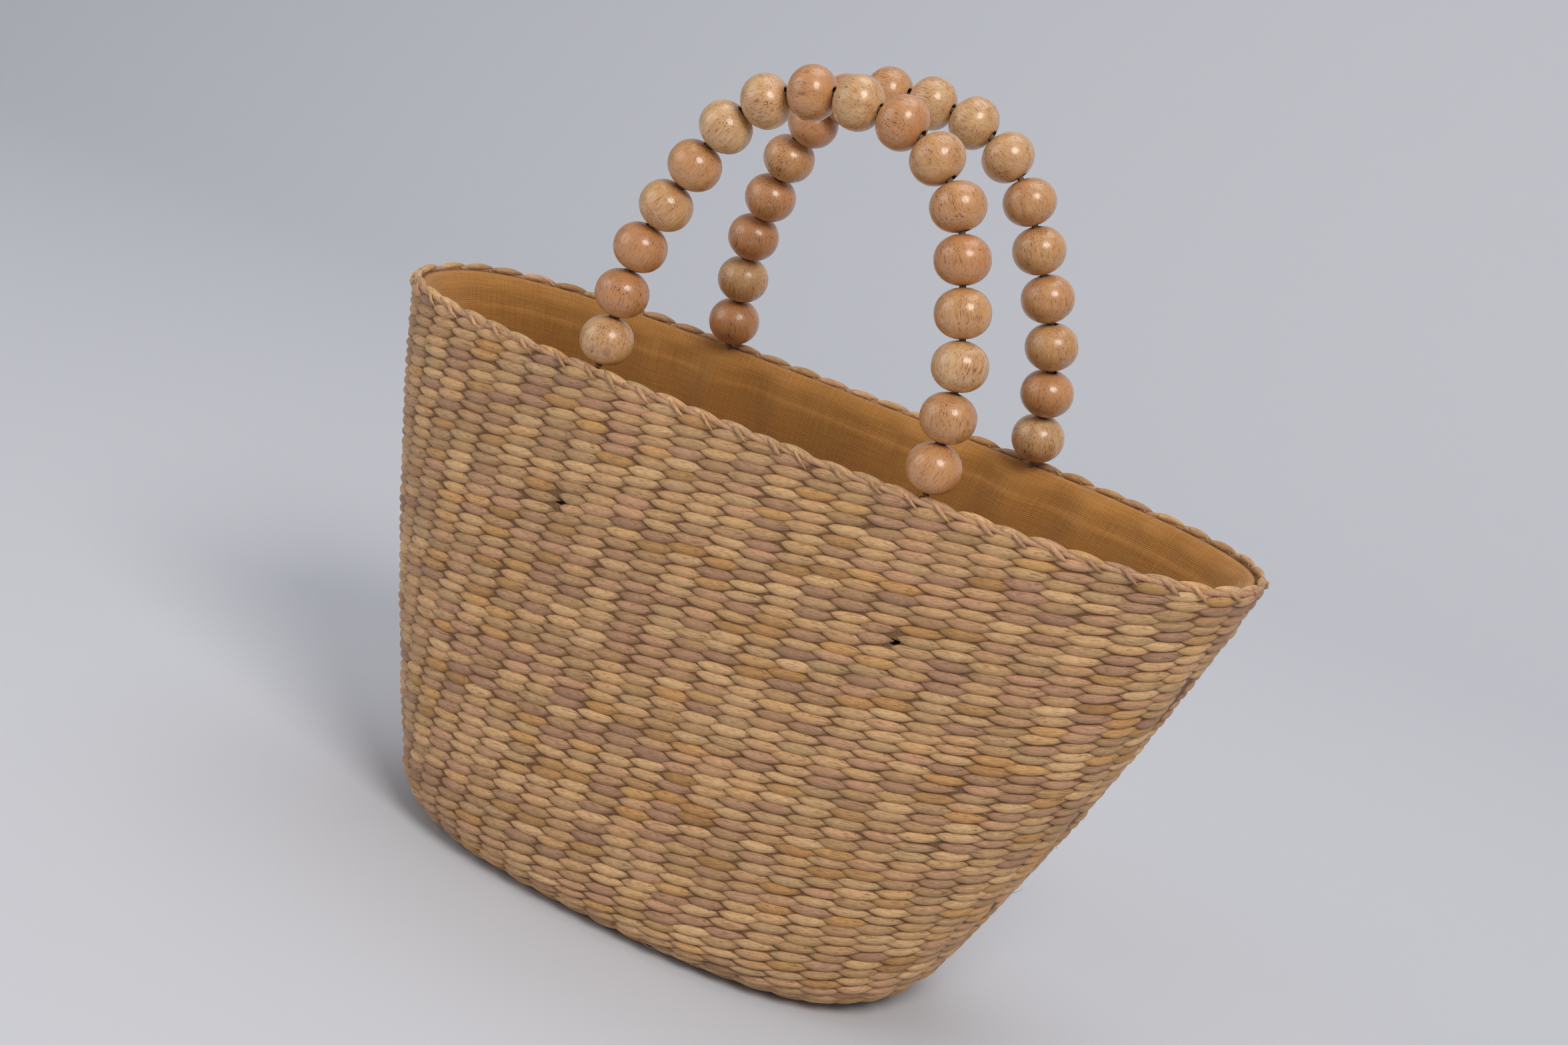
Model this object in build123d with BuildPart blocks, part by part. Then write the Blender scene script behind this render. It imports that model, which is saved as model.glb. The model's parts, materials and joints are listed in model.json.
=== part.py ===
from build123d import *
import os
from math import atan2, cos, degrees, pi, radians, sin, sqrt

# Straw tote bag: a twined wall on a turned-under base, a plaited border, a loose cloth
# lining and two handles of wooden beads strung on cord.
# Origin on the floor, midway along the mouth and midway across the base.
# +X runs to the right along the bag, -Y is the front, +Z is up.

# Woven wall
base_length = 274.0
base_depth = 152.0
mouth_length = 446.0
mouth_depth = 141.0
wall_height = 249.5
wall_thickness = 4.5
side_bulge = 6.5
base_set_left = 15.0
mouth_set_back = 5.0
base_turn = 21.0
row_pitch = 5.3
row_groove = 1.2
groove_half_share = 0.22

# Fullness of the outline's quarters: an ellipse has 0.55, a square corner 1
base_end_share = 0.72
base_side_share = 0.69
mouth_left_end_share = 0.95
mouth_right_end_share = 0.80
mouth_front_side_share = 0.61
mouth_back_side_share = 0.65

# Two places on the front where the weave has parted
weave_gap = 2.6
weave_gap_left_x = -82.0
weave_gap_left_height = 188.0
weave_gap_right_x = 92.0
weave_gap_right_height = 187.0

# Plaited border along the mouth
border_size = 2.6
border_inset = 1.9
border_strand_pitch = 15.0
border_steps = 3

# Lining
cloth_thickness = 1.0
lining_gap = 4.2
hem_height = 12.0
hem_drop = 1.0

# Bead handles
bead_count = 17
bead_diameter = 25.0
bead_flat = 2.7
bead_round = 6.0
bead_bore = 5.0
bead_edge = 0.8
bead_gap = 0.4
bead_inset = 9.0
cord_diameter = 3.1
knot_diameter = 3.6
knot_wraps = 3
front_lean = 4.8
back_lean = 9.4

# The line of the beads, as shares of the string's length
foot_share = 0.2333
knee_out_share = 0.2293
knee_up_share = 0.1255
crown_out_share = 0.1365
crown_up_share = 0.3766
knee_radius_share = 0.33
crown_radius_share = 0.172
front_sway_share = 0.004
back_sway_share = -0.022

# Fits
fit_gap = 0.3
seat_gap = 0.4
overrun = 10.0
turn_steps = 4
wall_steps = 6

turn_rows = max(1, round(base_turn * pi / 2 / row_pitch))
wall_rows = max(1, round((wall_height - base_turn) / row_pitch))
border_corner = border_size / sqrt(2)
border_height = wall_height + border_corner
bead_length = bead_diameter - bead_flat
bead_pitch = bead_length + bead_gap
belt_radius = bead_diameter / 2 - bead_round
cap_rise = bead_length / 2 - bead_round
cap_drop = (belt_radius**2 - cap_rise**2) / (2 * cap_rise)
cap_radius = bead_length / 2 + cap_drop
belt_angle = degrees(atan2(cap_drop, belt_radius))
seat_reach = bead_diameter / 2 + seat_gap
seat_rise = sqrt((seat_reach + border_corner) ** 2 - (bead_inset - border_inset) ** 2)
foot_height = border_height + seat_rise
lining_offset = wall_thickness + lining_gap
cord_inset = wall_thickness + lining_gap / 2
hem_top = wall_height - hem_drop
hem_bottom = hem_top - hem_height


def blend(low, high, rise):
    return low + (high - low) * rise


def quarters(height, inset):
    """Control points of the outline's four quarters, counted from the right end round the back."""
    rise = height / wall_height
    half_length = blend(base_length, mouth_length, rise) / 2 - inset
    half_length += 4 * side_bulge * rise * (1 - rise)
    half_depth = blend(base_depth, mouth_depth, rise) / 2 - inset
    x = -base_set_left * (1 - rise)
    y = mouth_set_back * rise
    right = blend(base_end_share, mouth_right_end_share, rise) * half_depth
    left = blend(base_end_share, mouth_left_end_share, rise) * half_depth
    front = blend(base_side_share, mouth_front_side_share, rise) * half_length
    back = blend(base_side_share, mouth_back_side_share, rise) * half_length
    right_end = (x + half_length, y)
    left_end = (x - half_length, y)
    back_side = (x, y + half_depth)
    front_side = (x, y - half_depth)
    return [
        [right_end, (x + half_length, y + right), (x + back, y + half_depth), back_side],
        [back_side, (x - back, y + half_depth), (x - half_length, y + left), left_end],
        [left_end, (x - half_length, y - left), (x - front, y - half_depth), front_side],
        [front_side, (x + front, y - half_depth), (x + half_length, y - right), right_end],
    ]


def outline(height, inset):
    """The bag's level section at a height, drawn inside the crests of the rows."""
    with BuildSketch(Plane.XY.offset(height)) as section:
        with BuildLine():
            for points in quarters(height, inset):
                Bezier(*points)
        make_face()
    return section.sketch


def row_step(row, groove):
    """Height and inset of the wall's face, counted in rows from the flat of the base."""
    if row < turn_rows:
        angle = row / turn_rows * pi / 2
        height = base_turn * (1 - cos(angle)) + groove * cos(angle)
        return height, base_turn * (1 - sin(angle)) + groove * sin(angle)
    share = (row - turn_rows) / wall_rows
    return blend(base_turn, wall_height, share), groove


def woven_face():
    """Sections of the outer face: each row has a flat crest between two grooves."""
    rows = turn_rows + wall_rows
    steps = [(0, 0)]
    for row in range(1, rows):
        steps.append((row - groove_half_share, 0))
        steps.append((row, row_groove))
        steps.append((row + groove_half_share, 0))
    steps.append((rows, 0))
    return [outline(*row_step(row, groove)) for row, groove in steps]


def skin(offset, floor, top):
    """Sections of a smooth face inside the wall, from its own floor up to a top height."""
    turn = base_turn - offset
    sections = []
    for step in range(turn_steps + 1):
        angle = step / turn_steps * pi / 2
        height = floor + turn * (1 - cos(angle))
        sections.append(outline(height, offset + turn * (1 - sin(angle))))
    for step in range(1, wall_steps + 1):
        sections.append(outline(blend(floor + turn, top, step / wall_steps), offset))
    return sections


def side_at(x, side, height, inset):
    """Y of the outline at x on one side, found by halving that quarter of it."""
    line = quarters(height, inset)
    points = {"front": (line[2], line[3]), "back": (line[1], line[0])}[side][x > 0]
    with BuildLine(mode=Mode.PRIVATE):
        quarter = Bezier(*points)
    low = 0.0
    high = 1.0
    rising = (quarter @ high).X > (quarter @ low).X
    for _ in range(60):
        middle = (low + high) / 2
        if ((quarter @ middle).X < x) == rising:
            low = middle
        else:
            high = middle
    return (quarter @ low).Y


def arch_points(sway_share, scale):
    """Foot, knee and crown corners of a handle in its own plane."""
    corners = [
        (-foot_share, 0),
        (-knee_out_share, knee_up_share),
        (sway_share - crown_out_share, crown_up_share),
        (sway_share + crown_out_share, crown_up_share),
        (knee_out_share, knee_up_share),
        (foot_share, 0),
    ]
    return [(x * scale, y * scale) for x, y in corners]


def arch_radii(scale):
    radii = [knee_radius_share, crown_radius_share, crown_radius_share, knee_radius_share]
    return [radius * scale for radius in radii]


def arch_scale(sway_share):
    """Scale that gives the arch the length of its string of beads."""
    with BuildLine(mode=Mode.PRIVATE):
        unit = FilletPolyline(*arch_points(sway_share, 1), radius=arch_radii(1))
    return (bead_count - 1) * bead_pitch / unit.length


def handle_feet(sway_share, side):
    """Centres of a handle's two end beads, which rest against the inside of the border."""
    half_span = foot_share * arch_scale(sway_share)
    return [
        Vector(x, side_at(x, side, wall_height, bead_inset), foot_height)
        for x in (-half_span, half_span)
    ]


def tail_places(sway_share, side):
    """Where a cord's two tails go down between wall and lining."""
    half_span = foot_share * arch_scale(sway_share)
    return [(x, side_at(x, side, hem_bottom, cord_inset)) for x in (-half_span, half_span)]


def handle_plane(feet, lean):
    """Plane of a handle that leans by a signed angle towards the back."""
    along = (feet[1] - feet[0]).normalized()
    up = Vector(0, sin(radians(lean)), cos(radians(lean)))
    return Plane(origin=(feet[0] + feet[1]) / 2, x_dir=along, z_dir=along.cross(up))


def save(part, name):
    part.label = name
    export_step(part, f"parts/{name}.step")


def make_cord(plane, sway_share, name):
    """Cord of one handle, which leaves each end bead and stops within that bead's swing."""
    scale = arch_scale(sway_share)
    corners = [Vector(x, y) for x, y in arch_points(sway_share, scale)]
    reach = sqrt((bead_diameter / 2) ** 2 - (cord_diameter / 2) ** 2)
    corners[0] -= (corners[1] - corners[0]).normalized() * reach
    corners[-1] -= (corners[-2] - corners[-1]).normalized() * reach
    points = [(corner.X, corner.Y) for corner in corners]
    with BuildPart() as cord:
        with BuildLine(plane):
            line = FilletPolyline(*points, radius=arch_radii(scale))
        with BuildSketch(Plane(origin=line @ 0, z_dir=line % 0)):
            Circle(cord_diameter / 2)
        sweep()
    save(cord.part, name)


def make_bead(line, index, normal, name):
    """One bead: a slightly flattened ball, two caps and a rounded belt, bored along the string."""
    travel = line.length * index / (bead_count - 1)
    middle = line.position_at(travel, position_mode=PositionMode.LENGTH)
    along = line.tangent_at(travel, position_mode=PositionMode.LENGTH)
    across = Plane(origin=middle, x_dir=normal, z_dir=normal.cross(along))
    with BuildPart() as bead:
        with BuildSketch(across):
            with BuildLine():
                upper = CenterArc((0, -cap_drop), cap_radius, belt_angle, 90 - belt_angle)
                CenterArc((belt_radius, 0), bead_round, -belt_angle, 2 * belt_angle)
                lower = CenterArc((0, cap_drop), cap_radius, -90, 90 - belt_angle)
                Line(upper @ 1, lower @ 0)
            make_face()
            with Locations((bead_bore / 4, 0)):
                Rectangle(bead_bore / 2, bead_diameter, mode=Mode.SUBTRACT)
            fillet(vertices().group_by(Axis.X)[0], bead_edge)
        revolve(axis=Axis(middle, along))
    save(bead.part, name)


def make_cord_ends(places, name):
    """Both tails of a cord, down through the hem to a stopper knot under it."""
    tail_top = foot_height - bead_diameter / 2 - fit_gap
    knot_top = hem_bottom - fit_gap - knot_diameter / 2
    with BuildPart() as ends:
        for x, y in places:
            with BuildSketch(Plane.XY.offset(tail_top)):
                with Locations((x, y)):
                    Circle(cord_diameter / 2)
            extrude(amount=knot_top - tail_top)
            for wrap in range(knot_wraps):
                with Locations((x, y, knot_top - wrap * knot_diameter / 2)):
                    Sphere(knot_diameter / 2)
    save(ends.part, name)


def make_handle(side, lean, sway_share):
    feet = handle_feet(sway_share, side)
    plane = handle_plane(feet, lean)
    scale = arch_scale(sway_share)
    with BuildLine(plane, mode=Mode.PRIVATE):
        line = FilletPolyline(*arch_points(sway_share, scale), radius=arch_radii(scale))
    make_cord(plane, sway_share, f"{side}_cord")
    make_cord_ends(tail_places(sway_share, side), f"{side}_cord_ends")
    for index in range(bead_count):
        make_bead(line, index, plane.z_dir, f"{side}_bead_{index + 1:02d}")


def border_half(first, second):
    """Sections of a twisted square strand along two quarters of the mouth."""
    line = quarters(border_height, border_inset)
    with BuildLine(Plane.XY.offset(border_height), mode=Mode.PRIVATE) as path:
        Bezier(*line[first])
        Bezier(*line[second])
    wire = path.wire()
    upright = Vector(0, 0, 1)
    quarter_turns = max(1, round(wire.length / border_strand_pitch))
    count = quarter_turns * border_steps
    sections = []
    for step in range(count + 1):
        travel = wire.length * step / count
        middle = wire.position_at(travel, position_mode=PositionMode.LENGTH)
        along = wire.tangent_at(travel, position_mode=PositionMode.LENGTH)
        angle = step / border_steps * pi / 2
        turned = upright * cos(angle) + along.cross(upright) * sin(angle)
        with BuildSketch(Plane(origin=middle, x_dir=turned, z_dir=along)) as strand:
            Rectangle(border_size, border_size)
        sections.append(strand.sketch)
    return sections


os.makedirs("parts", exist_ok=True)

tails = tail_places(front_sway_share, "front") + tail_places(back_sway_share, "back")

with BuildPart() as woven_body:
    loft(woven_face(), ruled=True)
    loft(skin(wall_thickness, wall_thickness, wall_height + overrun), ruled=True, mode=Mode.SUBTRACT)
    with BuildSketch(Plane.XZ):
        with Locations(
            (weave_gap_left_x, weave_gap_left_height),
            (weave_gap_right_x, weave_gap_right_height),
        ):
            Circle(weave_gap / 2)
    extrude(amount=base_depth, mode=Mode.SUBTRACT)
save(woven_body.part, "woven_body")

with BuildPart() as rim_border:
    loft(border_half(0, 1), ruled=True)
    loft(border_half(2, 3), ruled=True)
save(rim_border.part, "rim_border")

with BuildPart() as lining:
    lining_floor = wall_thickness + fit_gap
    loft(skin(lining_offset, lining_floor, hem_top), ruled=True)
    hem_inset = wall_thickness + fit_gap
    loft([outline(hem_bottom, hem_inset), outline(hem_top, hem_inset)], ruled=True)
    pouch_offset = lining_offset + cloth_thickness
    pouch_floor = lining_floor + cloth_thickness
    loft(skin(pouch_offset, pouch_floor, hem_top + overrun), ruled=True, mode=Mode.SUBTRACT)
    with Locations(*[(x, y, hem_bottom) for x, y in tails]):
        Cylinder(cord_diameter / 2 + fit_gap, overrun * 4, mode=Mode.SUBTRACT)
save(lining.part, "lining")

make_handle("front", front_lean, front_sway_share)
make_handle("back", -back_lean, back_sway_share)
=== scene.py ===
import json
import math

import bpy
import numpy as np
from mathutils import Matrix


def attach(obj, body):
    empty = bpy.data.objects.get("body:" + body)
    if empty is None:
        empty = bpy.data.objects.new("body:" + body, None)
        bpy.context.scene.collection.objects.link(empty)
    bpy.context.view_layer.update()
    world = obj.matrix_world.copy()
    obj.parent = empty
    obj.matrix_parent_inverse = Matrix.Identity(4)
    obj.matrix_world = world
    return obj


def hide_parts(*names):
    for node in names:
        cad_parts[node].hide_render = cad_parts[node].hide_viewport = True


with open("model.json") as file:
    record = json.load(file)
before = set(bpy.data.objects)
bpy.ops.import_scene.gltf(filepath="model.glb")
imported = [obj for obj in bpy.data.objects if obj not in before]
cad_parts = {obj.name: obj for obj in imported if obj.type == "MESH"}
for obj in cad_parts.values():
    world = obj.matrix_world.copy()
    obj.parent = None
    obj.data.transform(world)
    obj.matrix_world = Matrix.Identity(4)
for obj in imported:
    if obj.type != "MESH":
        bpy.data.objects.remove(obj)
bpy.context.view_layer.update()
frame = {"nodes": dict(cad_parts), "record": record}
rng = np.random.default_rng(11)

# Lengths are in millimetres, and make_piece turns them into metres
METRES, MILLIMETRES = 0.001, 1000

# The bag's outline, as in the part's source
BASE_LENGTH, BASE_DEPTH = 274.0, 152.0
MOUTH_LENGTH, MOUTH_DEPTH = 446.0, 141.0
WALL_HEIGHT = 249.5
SIDE_BULGE, BASE_SET_LEFT, MOUTH_SET_BACK, BASE_TURN = 6.5, 15.0, 5.0, 21.0

# Fullness of the outline's quarters, at the base and at the mouth
RIGHT_END, LEFT_END = (0.72, 0.80), (0.72, 0.95)
FRONT_SIDE, BACK_SIDE = (0.69, 0.61), (0.69, 0.65)
PER_QUARTER = 90

# Rows of the weave: pitch, and rows under the base, round its turn and up the wall. The wall's rows were
# counted on the photograph
ROW_PITCH, BASE_ROWS, TURN_ROWS, WALL_ROWS = 5.1, 10, 7, 45
TOP_ROW = TURN_ROWS + WALL_ROWS

# Parted places of the weave on the front: x and height
PARTED = [(-82.0, 188.0), (92.0, 187.0)]

# Beads: radius, most half length, radius of the bore, and the power that rounds the profile
BEAD_RADIUS, BEAD_FULL, BORE = 12.5, 11.75, 2.5
FULLNESS = 2 / 2.1


def mix(low, high, share):
    return low + (high - low) * share


def outline(height, inset):
    """Level section of the bag, from the right end round by the back."""
    rise = height / WALL_HEIGHT
    length = mix(BASE_LENGTH, MOUTH_LENGTH, rise) / 2 - inset + 4 * SIDE_BULGE * rise * (1 - rise)
    depth = mix(BASE_DEPTH, MOUTH_DEPTH, rise) / 2 - inset
    x, y = -BASE_SET_LEFT * (1 - rise), MOUTH_SET_BACK * rise
    right, left = mix(*RIGHT_END, rise) * depth, mix(*LEFT_END, rise) * depth
    front, back = mix(*FRONT_SIDE, rise) * length, mix(*BACK_SIDE, rise) * length
    quarters = [
        [(length, 0), (length, right), (back, depth), (0, depth)],
        [(0, depth), (-back, depth), (-length, left), (-length, 0)],
        [(-length, 0), (-length, -left), (-front, -depth), (0, -depth)],
        [(0, -depth), (front, -depth), (length, -right), (length, 0)],
    ]
    t = np.linspace(0, 1, PER_QUARTER, endpoint=False)[:, None]
    runs = []
    for quarter in quarters:
        a, b, c, d = (np.array(point, float) for point in quarter)
        runs.append((1 - t) ** 3 * a + 3 * t * (1 - t) ** 2 * b + 3 * t * t * (1 - t) * c + t ** 3 * d)
    return np.vstack(runs) + (x, y)


def even(points, count):
    """Closed line resampled at even distances, and the distance along it to each of its own points."""
    closed = np.vstack([points, points[:1]])
    travel = np.concatenate([[0], np.cumsum(np.linalg.norm(np.diff(closed, axis=0), axis=1))])
    at = np.linspace(0, travel[-1], count, endpoint=False)
    return np.stack([np.interp(at, travel, closed[:, k]) for k in (0, 1)], axis=1), travel


def row_place(row):
    """Height and inset of the wall's face, in rows up from the base's edge; under it, rows run inwards."""
    if row < 0:
        return 0.0, BASE_TURN - row * ROW_PITCH
    if row < TURN_ROWS:
        angle = row / TURN_ROWS * math.pi / 2
        return BASE_TURN * (1 - math.cos(angle)), BASE_TURN * (1 - math.sin(angle))
    return mix(BASE_TURN, WALL_HEIGHT, (row - TURN_ROWS) / WALL_ROWS), 0.0


class Face:
    """The wall's outer face, sampled by share round the bag and by row."""

    low, step, around = -BASE_ROWS, 0.25, 720

    def __init__(self):
        self.rows = np.arange(self.low, TOP_ROW + 1e-6, self.step)
        grid, marks = [], []
        for row in self.rows:
            height, inset = row_place(row)
            points, travel = even(outline(height, inset), self.around)
            grid.append(np.column_stack([points, np.full(self.around, height)]))
            marks.append(travel[::PER_QUARTER])
        self.grid = np.array(grid)
        self.marks = np.array(marks)
        along = np.roll(self.grid, -1, axis=1) - np.roll(self.grid, 1, axis=1)
        up = np.gradient(self.grid, axis=0)
        normal = np.cross(along, up)
        self.normal = normal / np.linalg.norm(normal, axis=2, keepdims=True)

    def at(self, share, row, lift):
        """Points at shares round the bag and rows, lifted off the face along its normal."""
        u = (np.asarray(share) % 1.0) * self.around
        v = np.clip((np.asarray(row) - self.low) / self.step, 0, len(self.rows) - 1.001)
        i, j = np.floor(u).astype(int) % self.around, np.floor(v).astype(int)
        k = (i + 1) % self.around
        fu, fv = (u - np.floor(u))[..., None], (v - j)[..., None]
        out = []
        for table in (self.grid, self.normal):
            low = table[j, i] * (1 - fu) + table[j, k] * fu
            high = table[j + 1, i] * (1 - fu) + table[j + 1, k] * fu
            out.append(low * (1 - fv) + high * fv)
        return out[0] + out[1] * np.asarray(lift)[..., None]

    def ends(self, row):
        """Distances round the bag at a row: right end, back, left end, front, right end."""
        return [float(np.interp(row, self.rows, self.marks[:, k])) for k in range(5)]


face = Face()


def make_piece(name, points, quads, maps=None, vectors=None):
    """Mesh object from points in millimetres, with texture maps and vector attributes by point."""
    mesh = bpy.data.meshes.new(name)
    mesh.from_pydata((np.asarray(points) * METRES).tolist(), [], [list(map(int, q)) for q in quads])
    loops = np.empty(len(mesh.loops), int)
    mesh.loops.foreach_get("vertex_index", loops)
    for key, values in (maps or {}).items():
        layer = mesh.uv_layers.new(name=key)
        layer.data.foreach_set("uv", np.asarray(values, np.float32)[loops].ravel())
    for key, values in (vectors or {}).items():
        layer = mesh.attributes.new(key, "FLOAT_VECTOR", "POINT")
        layer.data.foreach_set("vector", np.asarray(values, np.float32).ravel())
    mesh.polygons.foreach_set("use_smooth", [True] * len(mesh.polygons))
    mesh.update()
    piece = bpy.data.objects.new(name, mesh)
    bpy.context.collection.objects.link(piece)
    return piece


def grid_quads(rows, columns, wrap=False):
    """Quads of a grid of points, row by row; wrap joins each row's ends."""
    quads = []
    for r in range(rows - 1):
        for c in range(columns if wrap else columns - 1):
            d = (c + 1) % columns
            quads.append((r * columns + c, r * columns + d, (r + 1) * columns + d, (r + 1) * columns + c))
    return quads


def repeat_quads(quads, count, points):
    """The quads of one patch, repeated for each of many patches of the same number of points."""
    return (np.array(quads)[None] + (np.arange(count) * points)[:, None, None]).reshape(-1, 4)


# Materials

class Nodes:
    """Short names for building a material's nodes."""

    def __init__(self, name):
        self.material = bpy.data.materials.new(name)
        self.material.use_nodes = True
        self.tree = self.material.node_tree
        self.shader = self.tree.nodes["Principled BSDF"]

    def add(self, kind, **values):
        node = self.tree.nodes.new("ShaderNode" + kind)
        for key, value in values.items():
            setattr(node, key, value)
        return node

    def link(self, source, target):
        self.tree.links.new(source, target)

    def put(self, socket, value):
        if hasattr(value, "links"):
            self.link(value, socket)
        else:
            socket.default_value = value

    def math(self, operation, a, b=0.0):
        node = self.add("Math", operation=operation)
        self.put(node.inputs[0], a)
        self.put(node.inputs[1], b)
        return node.outputs[0]

    def times(self, a, b):
        return self.math("MULTIPLY", a, b)

    def plus(self, a, b):
        return self.math("ADD", a, b)

    def minus(self, a, b):
        return self.math("SUBTRACT", a, b)

    def size(self, a):
        return self.math("ABSOLUTE", a)

    def ramp(self, value, stops):
        node = self.add("ValToRGB")
        while len(node.color_ramp.elements) < len(stops):
            node.color_ramp.elements.new(0.5)
        for element, (place, colour) in zip(node.color_ramp.elements, stops):
            element.position = place
            element.color = (*colour, 1.0)
        self.put(node.inputs[0], value)
        return node.outputs[0]

    def span(self, value, low, high, to_low=0.0, to_high=1.0):
        node = self.add("MapRange", interpolation_type="SMOOTHSTEP")
        for socket, item in zip(node.inputs, (value, low, high, to_low, to_high)):
            self.put(socket, item)
        return node.outputs[0]

    def blend(self, share, a, b, kind="MIX"):
        node = self.add("Mix", data_type="RGBA", blend_type=kind)
        self.put(node.inputs[0], share)
        self.put(node.inputs[6], a)
        self.put(node.inputs[7], b)
        return node.outputs[2]

    def grey(self, value):
        node = self.add("CombineColor")
        for socket in node.inputs[:3]:
            self.link(value, socket)
        return node.outputs[0]

    def noise(self, vector, scale, detail=2.0, rough=0.5):
        node = self.add("TexNoise")
        self.put(node.inputs["Vector"], vector)
        node.inputs["Scale"].default_value = scale
        node.inputs["Detail"].default_value = detail
        node.inputs["Roughness"].default_value = rough
        return node.outputs[0]

    def join(self, x, y, z):
        node = self.add("CombineXYZ")
        for socket, item in zip(node.inputs, (x, y, z)):
            self.put(socket, item)
        return node.outputs[0]

    def stretch(self, place, across, along):
        """A place scaled by one number across its third axis and by another along it."""
        x, y, z = place
        return self.join(self.times(x, across), self.times(y, across), self.times(z, along))

    def split(self, vector):
        node = self.add("SeparateXYZ")
        self.put(node.inputs[0], vector)
        return node.outputs

    def map(self, name):
        return self.split(self.add("UVMap", uv_map=name).outputs[0])

    def vector(self, name):
        return self.split(self.add("Attribute", attribute_name=name).outputs["Vector"])

    def bump(self, height, strength, distance):
        node = self.add("Bump")
        node.inputs["Strength"].default_value = strength
        node.inputs["Distance"].default_value = distance
        self.put(node.inputs["Height"], height)
        self.link(node.outputs[0], self.shader.inputs["Normal"])

    def colour(self, value):
        self.put(self.shader.inputs["Base Color"], value)

    def rough(self, value):
        self.put(self.shader.inputs["Roughness"], value)


STRAW_TONES = [
    (0.00, (0.51, 0.275, 0.155)),
    (0.22, (0.59, 0.325, 0.170)),
    (0.45, (0.62, 0.355, 0.160)),
    (0.68, (0.70, 0.435, 0.210)),
    (0.86, (0.63, 0.345, 0.128)),
    (1.00, (0.56, 0.280, 0.092)),
]
# STRAW_CREASE_SHADE is painted shade in the straw's creases; STRAW_TUCK_SHADE is painted shade on a stitch's
# edges and ends, where it tucks under its neighbours
STRAW_CREASE_SHADE, STRAW_TUCK_SHADE = (0.23, 0.105, 0.038, 1), (0.17, 0.070, 0.024, 1)
# CORE_SHADE_TONES: dark browns that paint the shade on the stakes and strands behind the stitches
CORE_SHADE_TONES = [(0.3, (0.11, 0.048, 0.018)), (0.7, (0.26, 0.130, 0.055))]
WOOD_TONES = [
    (0.00, (0.68, 0.435, 0.215)),
    (0.30, (0.62, 0.345, 0.145)),
    (0.55, (0.57, 0.265, 0.105)),
    (0.80, (0.50, 0.205, 0.072)),
    (1.00, (0.43, 0.160, 0.052)),
]
WOOD_BAND, WOOD_LINE, WOOD_PORE = (0.47, 0.210, 0.075, 1), (0.37, 0.150, 0.050, 1), (0.16, 0.062, 0.022, 1)
# WOOD_BORE_SHADE is painted shade inside the bore and on its rounded edge
WOOD_BORE_SHADE, KNOT_HEART, KNOT_RING = (0.06, 0.026, 0.012, 1), (0.30, 0.13, 0.065, 1), (0.38, 0.17, 0.075, 1)
CLOTH_TONES = [(0.28, (0.385, 0.163, 0.036)), (0.5, (0.47, 0.214, 0.052)), (0.74, (0.56, 0.280, 0.082))]
# CLOTH_HOLE_SHADE is painted shade in the holes between the cloth's threads
CLOTH_PATCH, CLOTH_HOLE_SHADE = (0.40, 0.165, 0.036, 1), (0.12, 0.052, 0.014, 1)
# CORD_TWIST_SHADE_TONES run from painted shade in the twist's grooves to the cord's brown on its crests
CORD_TWIST_SHADE_TONES = [(0.0, (0.11, 0.070, 0.042)), (1.0, (0.30, 0.205, 0.125))]
THREAD_PITCH = 0.95


def straw_material(name, dark=1.0):
    """Dry straw: a tone for each stitch, fibres along it, painted shade in its creases, and painted shade
    where it tucks under.
    """
    n = Nodes(name)
    s, t, _ = n.map("stitch")
    tone, shade, _ = n.map("chance")
    base = n.ramp(tone, STRAW_TONES)
    seed = n.times(shade, 91.0)
    fibre = n.noise(n.join(n.plus(n.times(s, 1.6), seed), n.times(t, 5.5), seed), 3.2, 4.0, 0.62)
    fine = n.noise(n.join(n.plus(n.times(s, 2.2), seed), n.times(t, 17.0), seed), 3.4, 2.0, 0.5)
    gather = n.span(s, 0.40, 0.95, 0.45, 1.0)
    crease = n.times(n.span(fibre, 0.34, 0.44, 1.0, 0.0), gather)
    streak = n.span(fine, 0.30, 0.70, 0.72, 1.16)
    colour = n.blend(1.0, base, n.grey(streak), "MULTIPLY")
    level = n.span(shade, 0.0, 1.0, 0.82, 1.16)
    colour = n.blend(1.0, colour, n.grey(level), "MULTIPLY")
    # Painted shade: the creases between the fibres are darkened
    colour = n.blend(n.times(crease, 0.78), colour, STRAW_CREASE_SHADE)
    # Painted shade: a stitch's edges and ends are darkened where they tuck under the neighbouring stitches
    across = n.size(n.minus(n.times(t, 2.0), 1.0))
    edge = n.span(across, 0.74, 1.0, 0.0, 0.85)
    ends = n.math("MAXIMUM", n.span(s, 0.74, 1.0, 0.0, 0.62), n.span(s, 0.0, 0.10, 0.40, 0.0))
    tuck_shade = n.math("MAXIMUM", edge, ends)
    n.colour(n.blend(n.times(tuck_shade, dark), colour, STRAW_TUCK_SHADE))
    n.rough(n.span(fine, 0.2, 0.8, 0.34, 0.58))
    n.shader.inputs["Specular IOR Level"].default_value = 0.5
    n.bump(n.plus(n.times(fine, 0.5), n.times(n.minus(1.0, crease), 0.8)), 0.8, 0.0006)
    return n.material


def shaded_core_material():
    """The stakes and strands behind the stitches, in dark tones of painted shade."""
    n = Nodes("straw_core_shade")
    grain = n.noise(n.add("TexCoord").outputs["Object"], 900.0, 3.0, 0.6)
    # Painted shade: the core takes dark tones
    n.colour(n.ramp(grain, CORE_SHADE_TONES))
    n.rough(n.span(grain, 0.2, 0.8, 0.7, 0.9))
    n.bump(grain, 0.4, 0.0006)
    return n.material


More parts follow.
